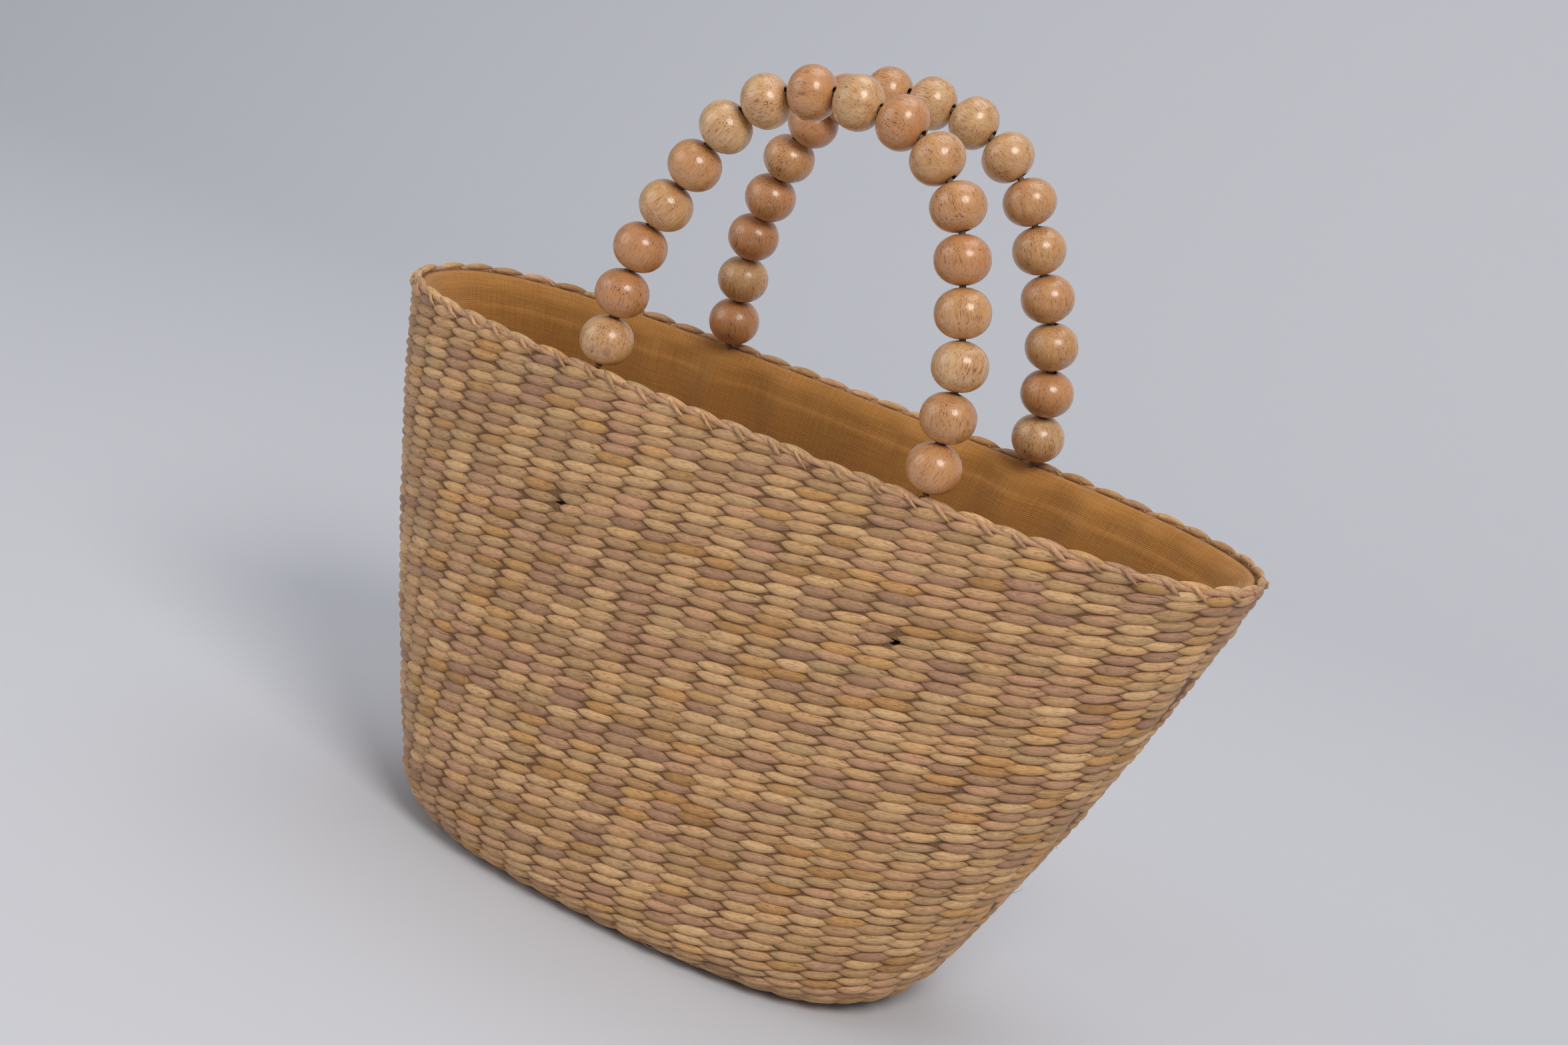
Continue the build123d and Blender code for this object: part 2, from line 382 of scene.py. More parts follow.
def wood_material():
    """Lacquered pale wood with grain and pores along the bore, darkened in the bore as painted shade, and
    knots.
    """
    n = Nodes("bead_wood")
    place = n.vector("grain")
    local = n.vector("local")
    base = n.ramp(n.map("chance")[0], WOOD_TONES)
    band = n.noise(n.stretch(place, 0.16, 0.022), 1.0, 3.0, 0.55)
    line = n.noise(n.stretch(place, 1.1, 0.07), 1.0, 3.0, 0.6)
    pore = n.span(n.noise(n.stretch(place, 1.9, 0.26), 1.0, 1.0, 0.4), 0.585, 0.645)
    crowd = n.span(band, 0.40, 0.62)
    colour = n.blend(n.span(band, 0.36, 0.66, 0.0, 0.52), base, WOOD_BAND)
    colour = n.blend(n.span(line, 0.40, 0.70, 0.0, 0.42), colour, WOOD_LINE)
    colour = n.blend(n.times(pore, n.plus(n.times(crowd, 0.55), 0.30)), colour, WOOD_PORE)
    reach = n.math("SQRT", n.plus(n.times(local[0], local[0]), n.times(local[1], local[1])))
    # Painted shade: the bore and its rounded edge are darkened
    colour = n.blend(n.span(reach, BORE + 0.2, BORE + 1.0, 0.9, 0.0), colour, WOOD_BORE_SHADE)
    knot = n.vector("knot")[0]
    colour = n.blend(n.span(knot, 1.6, 3.4, 0.62, 0.0), colour, KNOT_HEART)
    ring = n.size(n.minus(knot, 4.0))
    colour = n.blend(n.span(ring, 0.0, 1.6, 0.28, 0.0), colour, KNOT_RING)
    n.colour(colour)
    n.rough(n.span(line, 0.3, 0.7, 0.30, 0.42))
    n.shader.inputs["Coat Weight"].default_value = 0.55
    n.shader.inputs["Coat Roughness"].default_value = 0.16
    n.bump(n.minus(line, n.times(pore, 0.9)), 0.22, 0.0004)
    return n.material


def cloth_material():
    """Open coarse cloth: two sets of uneven threads, with small holes between them darkened as painted
    shade.
    """
    n = Nodes("lining_cloth")
    u, v, _ = n.map("cloth")
    slow = n.noise(n.join(n.times(u, 0.02), n.times(v, 0.02), 0.0), 1.0, 3.0, 0.5)
    warp_slub = n.noise(n.join(n.times(u, 0.9), n.times(v, 0.05), 3.0), 1.0, 2.0, 0.5)
    weft_slub = n.noise(n.join(n.times(u, 0.05), n.times(v, 0.9), 7.0), 1.0, 2.0, 0.5)
    sway = n.times(n.minus(slow, 0.5), 2.2)
    warp = n.size(n.math("SINE", n.times(n.plus(u, sway), math.pi / THREAD_PITCH)))
    weft = n.size(n.math("SINE", n.times(n.plus(v, sway), math.pi / THREAD_PITCH)))
    thread = n.math("MAXIMUM", warp, weft)
    hole = n.span(thread, 0.30, 0.62, 1.0, 0.0)
    slub = n.times(n.plus(warp_slub, weft_slub), 0.5)
    colour = n.ramp(slub, CLOTH_TONES)
    colour = n.blend(n.span(slow, 0.35, 0.65, 0.0, 0.25), colour, CLOTH_PATCH)
    # Painted shade: the holes between the threads are darkened
    n.colour(n.blend(n.times(hole, 0.72), colour, CLOTH_HOLE_SHADE))
    n.rough(n.span(slub, 0.2, 0.8, 0.78, 0.92))
    n.shader.inputs["Specular IOR Level"].default_value = 0.2
    n.shader.inputs["Sheen Weight"].default_value = 0.12
    n.bump(n.plus(thread, slub), 0.6, 0.0005)
    return n.material


def cord_material():
    """Twisted brown cord, darker in the grooves of its twist as painted shade."""
    n = Nodes("cord")
    x, y, z = n.split(n.add("TexCoord").outputs["Object"])
    turn = n.math("SINE", n.times(n.plus(n.plus(x, y), n.times(z, 1.4)), 3200.0))
    # Painted shade: the grooves of the twist are darker
    n.colour(n.ramp(n.span(turn, -1.0, 1.0), CORD_TWIST_SHADE_TONES))
    n.rough(n.span(turn, -1.0, 1.0, 0.92, 0.8))
    n.bump(turn, 0.5, 0.0004)
    return n.material


STRAW = straw_material("straw")
# The border's straw takes its painted tuck shade at 0.8 strength
STRAW_EDGE = straw_material("straw_border", 0.8)
CORE = shaded_core_material()
WOOD = wood_material()
CLOTH = cloth_material()
CORD = cord_material()


def tones(count):
    """Chance tone of each stitch: mostly tan and pale straw, some mauve, a few orange."""
    pick = rng.random(count)
    low = rng.uniform(0.0, 0.3, count)
    middle = rng.uniform(0.32, 0.80, count)
    high = rng.uniform(0.82, 1.0, count)
    return np.where(pick < 0.25, low, np.where(pick < 0.87, middle, high))


# Woven wall: one pillow for each stitch

# Points along and across a stitch, and the pitch of stitches at the base and at the mouth
ALONG, ACROSS = 10, 6
LOW_STITCH, HIGH_STITCH = 15.9, 16.9

# Powers that shape a stitch: fullest place, width along it, crown along it and crown across it
FULL_POWER, WIDE_POWER, CROWN_POWER, ACROSS_POWER = 0.88, 0.70, 0.55, 0.66
STITCH_TIP, ACROSS_SHARE = 0.010, 0.97

# A stitch's arch in rows, its tilt, and how deep its edge lies under the face
STITCH_ARCH, STITCH_TILT, STITCH_SINK = 0.06, 0.5, 2.45

# Mean and spread of each stitch's length in pitches, half height and slant in rows, and lift
STITCH_LENGTH, STITCH_HALF = (1.36, 0.05), (0.625, 0.035)
STITCH_SLANT, STITCH_LIFT = (0.60, 0.09), (2.80, 0.18)

# Spread of rows and stitches along the rows in pitches, and of stitches across them in rows
ROW_DRIFT, STITCH_DRIFT, STITCH_RISE = 0.04, 0.05, 0.03
END_OVERLAP = 0.45

# At a parted place: stitches moved, how far in pitches, their length, and the hole's radius in the core
PARTED_COUNT, PARTED_SHIFT, PARTED_LENGTH, PARTED_HOLE = 2, 0.22, 0.76, 2.4

# The core's two faces, off the face of the wall, its points round the bag, and a stitch's least height
CORE_OUT, CORE_IN, CORE_AROUND = -1.75, -4.4, 360
STANDING = 0.02


def stitch_patch(shares, rows, lengths, heights, slant, lift):
    """Points, quads and maps of many stitches: almonds, full at the left end and drawn in at the right."""
    count = len(shares)
    s = np.linspace(0, 1, ALONG)
    t = np.linspace(-1, 1, ACROSS)
    S, T = np.meshgrid(s, t, indexing="ij")
    full = np.clip(S, STITCH_TIP, 1 - STITCH_TIP) ** FULL_POWER
    wide = np.sin(np.pi * full) ** WIDE_POWER
    crown = np.sin(np.pi * full) ** CROWN_POWER * np.cos(T * np.pi / 2 * ACROSS_SHARE) ** ACROSS_POWER
    arch = STITCH_ARCH * np.sin(np.pi * S)
    tilt = (0.5 - S) * STITCH_TILT
    lengths, heights, slant, lift = (item[:, None, None] for item in (lengths, heights, slant, lift))
    u = shares[:, None, None] + (S - 0.5)[None] * lengths
    r = rows[:, None, None] + (S - 0.5)[None] * slant + (T * wide)[None] * heights - arch[None]
    h = -STITCH_SINK + crown[None] * lift + tilt[None]
    points = face.at(u, r, h).reshape(-1, 3)
    quads = repeat_quads([quad[::-1] for quad in grid_quads(ALONG, ACROSS)], count, ALONG * ACROSS)
    stitch = np.tile(np.stack([S.ravel(), T.ravel() * 0.5 + 0.5], axis=1), (count, 1))
    chance = np.stack([tones(count), rng.random(count)], axis=1).repeat(ALONG * ACROSS, axis=0)
    return points, quads, {"stitch": stitch, "chance": chance}


def weave_sites():
    """Middle of every stitch with its length, as shares and rows. Columns run up from the middle of the
    front and of the back, and new ones start at the ends, where the bag flares."""
    sites = []
    for row in range(-BASE_ROWS + 1, TOP_ROW):
        right, back, left, front, total = face.ends(row + 0.5)
        pitch = mix(LOW_STITCH, HIGH_STITCH, max(0, row) / TOP_ROW)
        drift = rng.normal(0, ROW_DRIFT)
        for middle, low, high in ((back, right, left), (front, left, total)):
            first = math.ceil((low - middle) / pitch - END_OVERLAP)
            last = math.floor((high - middle) / pitch + END_OVERLAP)
            for column in range(first, last):
                centre = middle + (column + 0.5 + drift + rng.normal(0, STITCH_DRIFT)) * pitch
                sites.append((centre / total, row + 0.5 + rng.normal(0, STITCH_RISE), pitch / total))
    return np.array(sites)


sites = weave_sites()
middles = face.at(sites[:, 0], sites[:, 1], np.zeros(len(sites)))
in_front = middles[:, 1] < MOUTH_SET_BACK / 2
weave = []
for name, chosen in (("weave_front", in_front), ("weave_back", ~in_front)):
    part = sites[chosen]
    count = len(part)
    lengths = part[:, 2] * rng.normal(*STITCH_LENGTH, count)
    heights = rng.normal(*STITCH_HALF, count)
    slant = rng.normal(*STITCH_SLANT, count)
    lift = rng.normal(*STITCH_LIFT, count)
    for x, z in PARTED if name == "weave_front" else []:
        spot = middles[chosen]
        for index in np.argsort(np.hypot(spot[:, 0] - x, spot[:, 2] - z))[:PARTED_COUNT]:
            part[index, 0] += np.sign(spot[index, 0] - x) * PARTED_SHIFT * part[index, 2]
            lengths[index] *= PARTED_LENGTH
    points, quads, maps = stitch_patch(part[:, 0], part[:, 1], lengths, heights, slant, lift)
    points[:, 2] = np.maximum(points[:, 2], STANDING)
    piece = make_piece(name, points, quads, maps)
    piece.data.materials.append(STRAW)
    weave.append(piece)

# Core of the wall behind the stitches, folded over at the mouth and open at the parted places
shares = np.arange(CORE_AROUND) / CORE_AROUND
core_rows = [(row, CORE_OUT) for row in np.arange(-BASE_ROWS, TOP_ROW + 0.1, 0.5)]
core_rows += [(row, CORE_IN) for row in np.arange(TOP_ROW, -BASE_ROWS - 0.1, -1.0)]
rings = [face.at(shares, np.full(CORE_AROUND, row), np.full(CORE_AROUND, lift)) for row, lift in core_rows]
core_points = np.vstack(rings)
core_quads = np.array(grid_quads(len(rings), CORE_AROUND, wrap=True))
spot = core_points[core_quads].mean(axis=1)
near_parted = sum(np.hypot(spot[:, 0] - x, spot[:, 2] - z) < PARTED_HOLE for x, z in PARTED)
hole = near_parted * (spot[:, 1] < 0) > 0
core = make_piece("weave_core", core_points, core_quads[~hole])
# The core's dark colour is painted shade between the stitches
core.data.materials.append(CORE)
weave.append(core)

# Border: rolls of straw along the mouth, thin twisted strands that cross it, and stray fibres

# Steps along a border strand, a stray fibre and the edge strand, and the weight of x, y and z in outwards
STRAND_STEPS, FIBRE_STEPS, EDGE_STEPS = 13, 8, 361
OUTWARDS = (0.35, 1.0, 0.0)

# A crossing strand at five places along it: lift off the wall, rise above its top, and radius
WRAP_PLACES = (0, 0.25, 0.5, 0.75, 1)
WRAP_LIFTS, WRAP_RISES = (-4.3, -2.6, -0.3, 0.6, -0.9), (0.6, 2.1, 1.5, -0.8, -3.4)
WRAP_RADII = (0.25, 0.80, 0.95, 0.80, 0.15)
WRAP_START, WRAP_LENGTH = -0.30, 0.86

# A roll's place along its stitch and length in pitches, its lift, rise, arch and slope, and its radii
ROLL_PLACE, ROLL_LENGTH = 0.1, 1.18
ROLL_LIFT, ROLL_RISE, ROLL_ARCH, ROLL_SLOPE = -2.6, 1.15, 0.5, 1.5
ROLL_TIP, ROLL_RADIUS, ROLL_POWER = 0.06, 1.85, 0.62

# The strand along the edge, and the share and radius of stray fibres
EDGE_LIFT, EDGE_RISE, EDGE_RADIUS, EDGE_TONE = -2.2, 0.4, 1.5, 0.1
FIBRE_SHARE, FIBRE_RADIUS = 0.022, 0.16


def strands(name, paths, radii, tone, sides=8, twist=3.0):
    """Tapered tubes along many paths at once, with fibres that wind round them."""
    count, steps, _ = paths.shape
    ahead = np.gradient(paths, axis=1)
    ahead /= np.linalg.norm(ahead, axis=2, keepdims=True)
    middle = np.array((0.0, MOUTH_SET_BACK, 0.0))
    out = (paths - middle) * OUTWARDS
    side = np.cross(ahead, out)
    side /= np.linalg.norm(side, axis=2, keepdims=True)
    over = np.cross(side, ahead)
    angle = np.arange(sides) / sides * 2 * np.pi
    rings = np.cos(angle)[:, None] * side[:, :, None] + np.sin(angle)[:, None] * over[:, :, None]
    points = (paths[:, :, None] + rings * radii[:, :, None, None]).reshape(-1, 3)
    quads = repeat_quads(grid_quads(steps, sides, wrap=True), count, steps * sides)
    s = np.linspace(0, 1, steps)
    spiral = 0.5 + 0.24 * np.cos(angle[None] + twist * s[:, None])
    stitch = np.stack([np.repeat(0.10 + 0.62 * s, sides), spiral.ravel()], axis=1)
    chance = np.stack([tone, rng.random(count)], axis=1).repeat(steps * sides, axis=0)
    return make_piece(name, points, quads, {"stitch": np.tile(stitch, (count, 1)), "chance": chance})


def along_mouth(centre, reach, pitch, lifts, rises):
    """Paths along the wall's top: places along it in pitches, with lift off the wall and rise above it."""
    share = centre[:, None] + reach * pitch[:, None]
    points = face.at(share, np.full(share.shape, TOP_ROW), lifts)
    points[:, :, 2] += rises
    return points


top = sites[sites[:, 1] > TOP_ROW - 1]
count = len(top)
s = np.linspace(0, 1, STRAND_STEPS)
lean = rng.normal(1.0, 0.16, (count, 1))
wrap_paths = along_mouth(
    top[:, 0] + rng.normal(0, 0.08, count) * top[:, 2],
    WRAP_START + WRAP_LENGTH * s,
    top[:, 2],
    np.interp(s, WRAP_PLACES, WRAP_LIFTS) + rng.normal(0, 0.15, (count, 1)),
    np.interp(s, WRAP_PLACES, WRAP_RISES) * lean,
)
wrap_radii = np.interp(s, WRAP_PLACES, WRAP_RADII) * rng.normal(1.0, 0.18, (count, 1))
roll_paths = along_mouth(
    top[:, 0] + ROLL_PLACE * top[:, 2],
    (s - 0.5) * ROLL_LENGTH,
    top[:, 2],
    np.full((count, STRAND_STEPS), ROLL_LIFT) + rng.normal(0, 0.12, (count, 1)),
    ROLL_RISE + ROLL_ARCH * np.sin(np.pi * s) - ROLL_SLOPE * (s - 0.5) + rng.normal(0, 0.15, (count, 1)),
)
roll_radii = (ROLL_TIP + ROLL_RADIUS * np.sin(np.pi * s) ** ROLL_POWER) * rng.normal(1.0, 0.07, (count, 1))
edge_share = np.arange(EDGE_STEPS) / (EDGE_STEPS - 1)
edge_path = face.at(edge_share, np.full(EDGE_STEPS, TOP_ROW), np.full(EDGE_STEPS, EDGE_LIFT))[None]
edge_path[:, :, 2] += EDGE_RISE
edge_radii = np.full((1, EDGE_STEPS), EDGE_RADIUS)
border = [
    strands("border_wraps", wrap_paths, wrap_radii, rng.uniform(0.15, 0.60, count), twist=9.0),
    strands("border_rolls", roll_paths, roll_radii, tones(count)),
    strands("border_edge", edge_path, edge_radii, np.array([EDGE_TONE]), twist=400.0),
]
for piece in border:
    piece.data.materials.append(STRAW_EDGE)

loose = sites[(sites[:, 1] > 2) & (rng.random(len(sites)) < FIBRE_SHARE)]
count = len(loose)
s = np.linspace(0, 1, FIBRE_STEPS)
fibre_paths = face.at(
    loose[:, 0, None] + (0.35 + s * rng.uniform(0.3, 0.7, (count, 1))) * loose[:, 2, None],
    loose[:, 1, None] + rng.normal(0.2, 0.5, (count, 1)) * s - 0.3 * s ** 2,
    0.1 + np.sin(np.pi * 0.8 * s) * rng.uniform(0.4, 1.9, (count, 1)),
)
fibre_radii = np.full((count, FIBRE_STEPS), FIBRE_RADIUS) * (1.1 - s)
fibres = strands("weave_fibres", fibre_paths, fibre_radii, rng.uniform(0.4, 0.8, count), sides=4)
fibres.data.materials.append(STRAW_EDGE)
weave.append(fibres)

for piece in weave:
    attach(piece, "bag")
    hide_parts("woven_body")
for piece in border:
    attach(piece, "bag")
    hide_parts("rim_border")

# Lining: hem folded over the wall's inner edge, then a loose pouch

CLOTH_AROUND, CLOTH_WIDTH = 480, 1050.0
HEM_TOP, HEM_HEIGHT, POUCH_FLOOR, POUCH_INSET = 248.5, 12.0, 4.8, 9.7

# The folded hem from its outer edge: rise from its top, and inset
HEM_FOLD = [(-8.0, 5.0), (-3.0, 4.8), (0.6, 4.8), (1.6, 5.5), (1.7, 7.2), (0.6, 8.4)]
HEM_DROPS, HEM_INSET = (2.0, 4.0, 6.5, 9.0, 11.2), 9.1

# The handles' feet, where the cloth is pulled
FEET = [(-85.0, -55.3), (85.0, -54.1), (-85.0, 65.4), (85.0, 64.3)]

# Folds of the cloth round the bag, how far each kind moves it in, and the depth over which it fades or grows
PUCKERS, WRINKLES = (37, 43, 29), (7, 11, 17, 5)
PUCKER_MOVE, WRINKLE_MOVE, PULL_MOVE = 1.2, 3.0, 4.6
PUCKER_FADE, WRINKLE_GROWTH, PULL_DEPTH = 38.0, 55.0, 24.0

# Turn of the pouch into its floor: the height it takes up, how far it goes in, and the floor's lift
TURN_RISE, TURN_REACH, FLOOR_RISE = 15.1, 12.0, 0.9

share = np.arange(CLOTH_AROUND) / CLOTH_AROUND
phase = rng.uniform(0, 2 * np.pi, 12)
hem_ring, _ = even(outline(HEM_TOP, POUCH_INSET), CLOTH_AROUND)
foot_shares = [float(np.argmin(np.hypot(*(hem_ring - foot).T))) / CLOTH_AROUND for foot in FEET]


def soft(share, depth):
    """Inward folds of the cloth: fading puckers under the hem, slow wrinkles lower down, pulled feet."""
    round_bag = 2 * np.pi * share
    pucker = sum(np.sin(round_bag * k + phase[i]) for i, k in enumerate(PUCKERS)) / len(PUCKERS)
    slow = sum(
        np.sin(round_bag * k + phase[4 + i] + depth * 0.012 * (i - 1)) for i, k in enumerate(WRINKLES)
    ) / len(WRINKLES)
    pulled = np.zeros_like(share)
    for foot in foot_shares:
        away = (share - foot + 0.5) % 1.0 - 0.5
        pulled += np.exp(-(away / 0.011) ** 2) - 0.5 * np.exp(-((np.abs(away) - 0.022) / 0.009) ** 2)
        pulled += 0.5 * np.exp(-((np.abs(away) - 0.040) / 0.008) ** 2)
    fade = np.exp(-depth / PUCKER_FADE)
    growth = 1 - np.exp(-depth / WRINKLE_GROWTH)
    drop = depth / PULL_DEPTH * math.exp(1 - depth / PULL_DEPTH)
    moved = PUCKER_MOVE * (pucker + 1) * fade + WRINKLE_MOVE * (slow + 1) * growth
    return moved + PULL_MOVE * (pulled + 0.5) * drop


def cloth_rows():
    """Height and inset of the cloth from its hem's outer edge down and in over the floor."""
    rows = [(HEM_TOP + rise, inset) for rise, inset in HEM_FOLD]
    rows += [(HEM_TOP - drop, HEM_INSET) for drop in HEM_DROPS]
    rows += [(HEM_TOP - HEM_HEIGHT - drop, 9.75 - 0.5 * (drop < 0.5)) for drop in (0.0, 0.9)]
    bottom = POUCH_FLOOR + 16.0
    rows += [(height, POUCH_INSET) for height in np.linspace(HEM_TOP - HEM_HEIGHT - 3, bottom, 52)]
    for angle in np.linspace(0.25, math.pi / 2, 6):
        height = POUCH_FLOOR + FLOOR_RISE + TURN_RISE * (1 - math.sin(angle))
        rows.append((height, POUCH_INSET + TURN_REACH * (1 - math.cos(angle))))
    rows += [(POUCH_FLOOR + FLOOR_RISE, inset) for inset in np.linspace(26, 74, 9)]
    return rows


cloth_points, cloth_map = [], []
travel, before = 0.0, None
for height, inset in cloth_rows():
    ring, _ = even(outline(height, inset), CLOTH_AROUND)
    depth = max(0.0, HEM_TOP - height)
    fold = soft(share, depth) * min(1.0, depth / 4.0) * min(1.0, max(0.0, height - POUCH_FLOOR - 2) / 30.0)
    along = np.roll(ring, -1, axis=0) - np.roll(ring, 1, axis=0)
    along /= np.linalg.norm(along, axis=1, keepdims=True)
    inward = np.column_stack([-along[:, 1], along[:, 0]])
    ring = ring + inward * fold[:, None]
    points = np.column_stack([ring, np.full(CLOTH_AROUND, height)])
    if before is not None:
        travel += float(np.linalg.norm(points - before, axis=1).mean())
    before = points
    cloth_points.append(points)
    cloth_map.append(np.column_stack([share * CLOTH_WIDTH, np.full(CLOTH_AROUND, travel)]))
cloth_quads = grid_quads(len(cloth_points), CLOTH_AROUND, wrap=True)
lining = make_piece("lining_pouch", np.vstack(cloth_points), cloth_quads, {"cloth": np.vstack(cloth_map)})
lining.data.materials.append(CLOTH)
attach(lining, "bag")
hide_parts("lining")

# Beads: turned from rod, grain along the bore

AROUND_BEAD, ALONG_BEAD = 44, 24

# The rounded edge of the bore: out from the bore, and up from the end of the bead's outside
BORE_EDGE = 0.75
BORE_ROUND = [(0.42, 0.02), (0.12, -0.22), (0.0, -0.75)]

# Space kept between beads, and more of it where they lean, by the angle
BEAD_SPACE, LEAN_SPACE = 0.04, 1.2

# Tones of the beads that the photograph shows, by handle and number, and a knot in one of them
TONE = {
    "front": {
        1: 0.20, 2: 0.62, 3: 0.60, 4: 0.26, 5: 0.46, 6: 0.06, 7: 0.08, 8: 0.52, 9: 0.10,
        10: 0.54, 11: 0.34, 12: 0.46, 13: 0.58, 14: 0.36, 15: 0.08, 16: 0.44, 17: 0.50,
    },
    "back": {
        1: 0.56, 2: 0.20, 3: 0.58, 4: 0.52, 5: 0.38, 6: 0.56,
        14: 0.42, 15: 0.30, 16: 0.52, 17: 0.02,
    },
}
KNOTS = {"front_bead_01": (0.54, -0.81, -0.21)}
NO_KNOT = 99.0


def bead_profile(half):
    """Radius and height from the lower edge of the bore, round the outside, and back through the bore."""
    start = math.asin(((BORE + BORE_EDGE) / BEAD_RADIUS) ** (1 / FULLNESS))
    points = []
    for angle in np.linspace(start, math.pi - start, ALONG_BEAD):
        tall = math.copysign(abs(math.cos(angle)) ** FULLNESS, math.cos(angle))
        points.append((BEAD_RADIUS * math.sin(angle) ** FULLNESS, -half * tall))
    top = points[-1][1]
    edge = [(BORE + out, top + up) for out, up in BORE_ROUND]
    return np.array(points + edge + [(r, -z) for r, z in reversed(edge)])


def bead_half(place, axis, others):
    """Half length of a bead that just clears its neighbours on the string."""
    half = BEAD_FULL
    for other, direction in others:
        lean = math.acos(min(1.0, abs(float(axis @ direction)))) / 2
        gap = float(np.linalg.norm(other - place)) / 2
        reach = math.sqrt(gap ** 2 - (BEAD_RADIUS * math.sin(lean)) ** 2) / math.cos(lean)
        half = min(half, reach - BEAD_SPACE - LEAN_SPACE * lean)
    return half


turn = np.arange(AROUND_BEAD) / AROUND_BEAD * 2 * np.pi
spins = [joint for joint in frame["record"]["behaviour"]["joints"] if joint["name"].startswith("spin_")]
places = {joint["child"]: np.array(joint["pos_m"], float) * MILLIMETRES for joint in spins}
axes = {joint["child"]: np.array(joint["axis"], float) / np.linalg.norm(joint["axis"]) for joint in spins}
for node, place in places.items():
    axis = axes[node]
    handle, _, number = node.split("_")
    side = np.cross(axis, (0.0, 1.0, 0.0))
    side /= np.linalg.norm(side)
    turned = np.column_stack([side, np.cross(axis, side), axis])
    near = [
        (places[other], axes[other]) for other in places
        if other != node and other.startswith(handle)
        and np.linalg.norm(places[other] - place) < 3 * BEAD_RADIUS
    ]
    near = sorted(near, key=lambda item: np.linalg.norm(item[0] - place))[:2]
    profile = bead_profile(bead_half(place, axis, near))
    local = np.stack([
        np.column_stack([r * np.cos(turn), r * np.sin(turn), np.full(AROUND_BEAD, z)]) for r, z in profile
    ]).reshape(-1, 3)
    quads = grid_quads(len(profile), AROUND_BEAD, wrap=True)
    last = (len(profile) - 1) * AROUND_BEAD
    quads += [(last + c, last + (c + 1) % AROUND_BEAD, (c + 1) % AROUND_BEAD, c) for c in range(AROUND_BEAD)]
    offset = rng.uniform(-400, 400, 3)
    skew = Matrix.Rotation(rng.normal(0, 0.12), 3, "X") @ Matrix.Rotation(rng.normal(0, 0.12), 3, "Y")
    grain = local @ np.array(skew) + offset
    by_chance = float(np.clip(rng.beta(1.6, 2.0), 0.02, 0.95))
    tone = TONE[handle].get(int(number), by_chance)
    chance = np.tile((tone, rng.random()), (len(local), 1))
    knot = np.full((len(local), 3), NO_KNOT)
    if node in KNOTS:
        knot[:, 0] = np.linalg.norm(local @ turned.T - BEAD_RADIUS * np.array(KNOTS[node]), axis=1)
    vectors = {"grain": grain, "local": local, "knot": knot}
    bead = make_piece("wood_" + node, local @ turned.T + place, quads, {"chance": chance}, vectors)
    bead.data.materials.append(WOOD)
    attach(bead, node)
    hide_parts(node)

for node in ("front_cord", "back_cord", "front_cord_ends", "back_cord_ends"):
    piece = frame["nodes"][node]
    for slot in piece.material_slots:
        slot.material = CORD

# Floor with a rounded rise into the backdrop

FLOOR_FRONT, SWEEP_START, SWEEP, SWEEP_STEPS = -4000, 900, 900, 12
BACKDROP_TOP, FLOOR_HALF_WIDTH = 4500, 5000
floor_points, floor_quads = [], []
floor_line = [(FLOOR_FRONT, 0), (SWEEP_START, 0)]
for step in range(1, SWEEP_STEPS + 1):
    angle = step / SWEEP_STEPS * math.pi / 2
    floor_line.append((SWEEP_START + SWEEP * math.sin(angle), SWEEP * (1 - math.cos(angle))))
floor_line.append((SWEEP_START + SWEEP, BACKDROP_TOP))
for y, z in floor_line:
    floor_points += [(-FLOOR_HALF_WIDTH, y, z), (FLOOR_HALF_WIDTH, y, z)]
for k in range(len(floor_line) - 1):
    floor_quads.append((2 * k, 2 * k + 1, 2 * k + 3, 2 * k + 2))
floor = make_piece("floor", floor_points, floor_quads)
ground = Nodes("floor_pale")
ground.shader.inputs["Base Color"].default_value = (0.60, 0.61, 0.65, 1)
ground.shader.inputs["Roughness"].default_value = 0.85
ground.shader.inputs["Specular IOR Level"].default_value = 0.2
floor.data.materials.append(ground.material)

# Lights, placed in metres, and camera


def pose(axes, place):
    """Matrix of an object with its x, y and z axes in columns."""
    return Matrix(np.vstack([np.column_stack([*axes, place]), [0, 0, 0, 1]]).tolist())


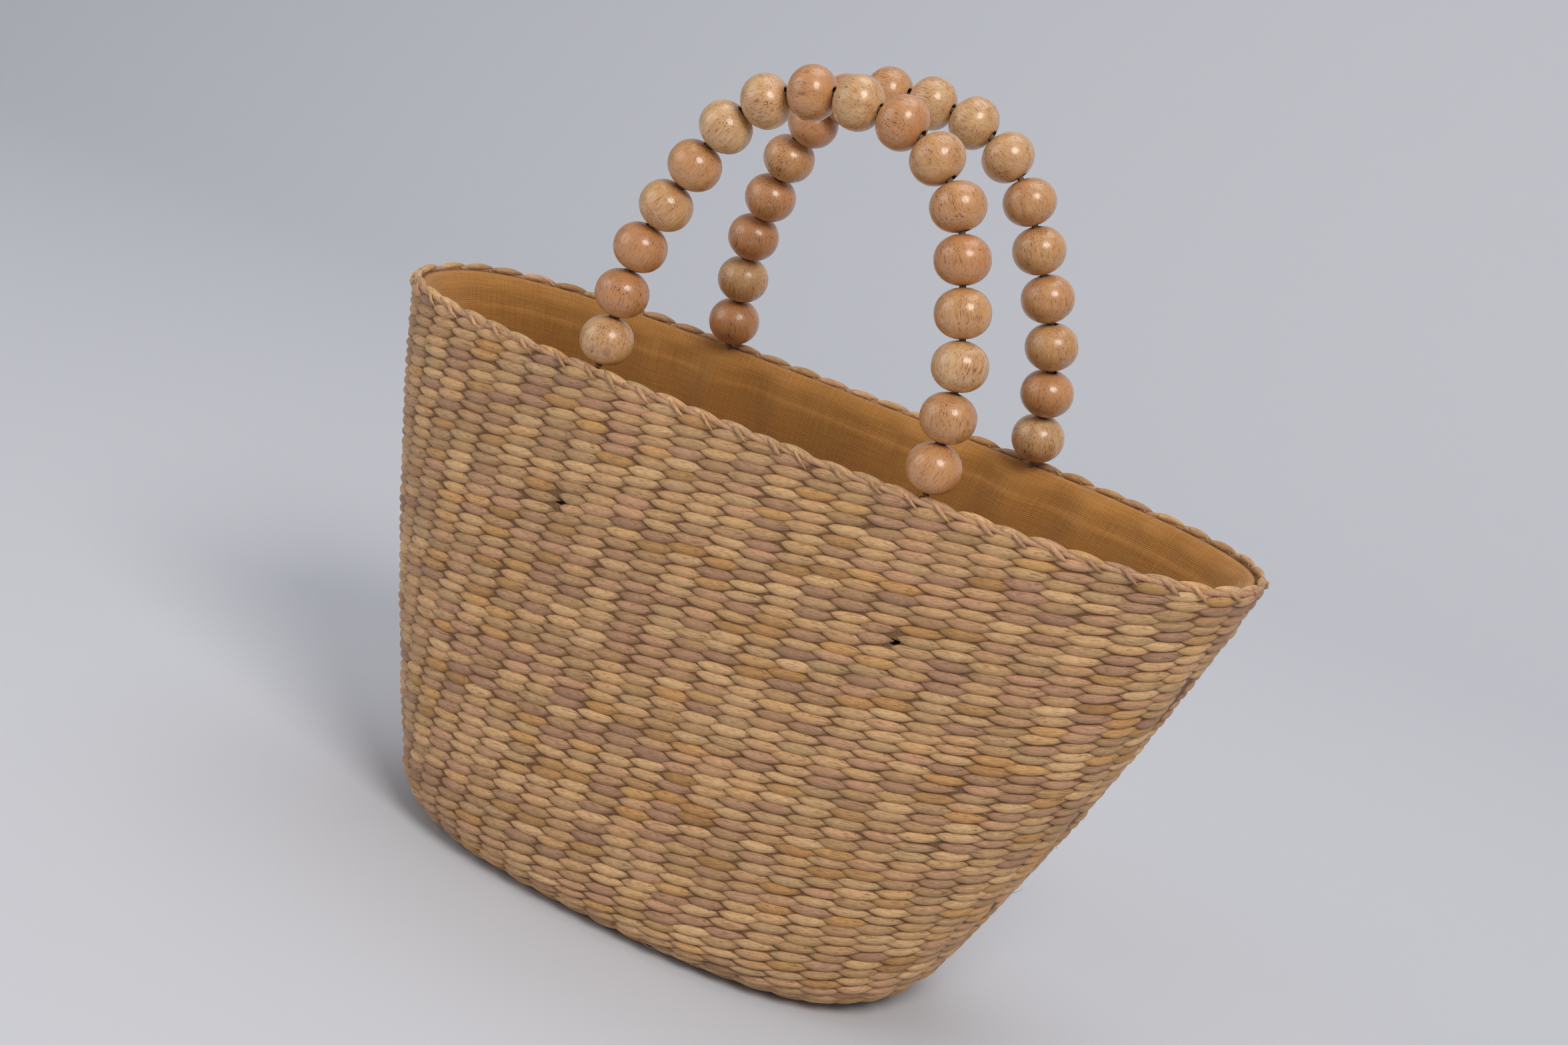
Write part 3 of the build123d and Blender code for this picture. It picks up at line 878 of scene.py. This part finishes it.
def area_light(name, place, target, size, power, colour):
    lamp = bpy.data.lights.new(name, "AREA")
    lamp.shape = "DISK"
    lamp.size = size
    lamp.energy = power
    lamp.color = colour
    item = bpy.data.objects.new(name, lamp)
    back = np.array(place, float) - np.array(target, float)
    back /= np.linalg.norm(back)
    right = np.cross((0, 0, 1.0), back)
    right /= np.linalg.norm(right)
    item.matrix_world = pose((right, np.cross(back, right), back), place)
    bpy.context.collection.objects.link(item)


area_light("key", (1.4, -1.2, 2.05), (0, 0, 0.2), 1.2, 39.0, (1.0, 0.965, 0.92))
area_light("fill", (-1.9, -1.5, 1.2), (0, 0, 0.15), 2.0, 17.0, (0.95, 0.97, 1.0))
area_light("top", (0.0, 0.5, 2.4), (0, 0, 0.2), 1.8, 15.0, (1.0, 1.0, 1.0))

world = bpy.data.worlds.new("studio")
world.use_nodes = True
world.node_tree.nodes["Background"].inputs["Color"].default_value = (0.80, 0.82, 0.86, 1)
world.node_tree.nodes["Background"].inputs["Strength"].default_value = 0.38
scene = bpy.context.scene
scene.world = world
scene.view_settings.view_transform = "Standard"

# Camera fitted to the photograph: angles, the point it looks at, distance, and focal length in pixels
AZIMUTH, ELEVATION, ROLL = math.radians(24.22), math.radians(16.33), math.radians(-15.34)
TARGET, DISTANCE = np.array([-3.41, 6.29, 196.44]), 1234.69
FOCAL_PIXELS, PHOTO_WIDTH, SENSOR_WIDTH = 3937.2, 2352, 36.0
level = math.cos(ELEVATION)
back = np.array([math.sin(AZIMUTH) * level, -math.cos(AZIMUTH) * level, math.sin(ELEVATION)])
ahead = -back
right = np.cross(ahead, (0, 0, 1.0))
right /= np.linalg.norm(right)
down = np.cross(ahead, right)
x_axis = math.cos(ROLL) * right + math.sin(ROLL) * down
y_axis = math.sin(ROLL) * right - math.cos(ROLL) * down
camera_data = bpy.data.cameras.new("camera")
camera_data.sensor_width = SENSOR_WIDTH
camera_data.lens = FOCAL_PIXELS * SENSOR_WIDTH / PHOTO_WIDTH
camera_data.clip_end = 50.0
camera = bpy.data.objects.new("camera", camera_data)
camera.matrix_world = pose((x_axis, y_axis, back), (TARGET + DISTANCE * back) * METRES)
bpy.context.collection.objects.link(camera)
scene.camera = camera
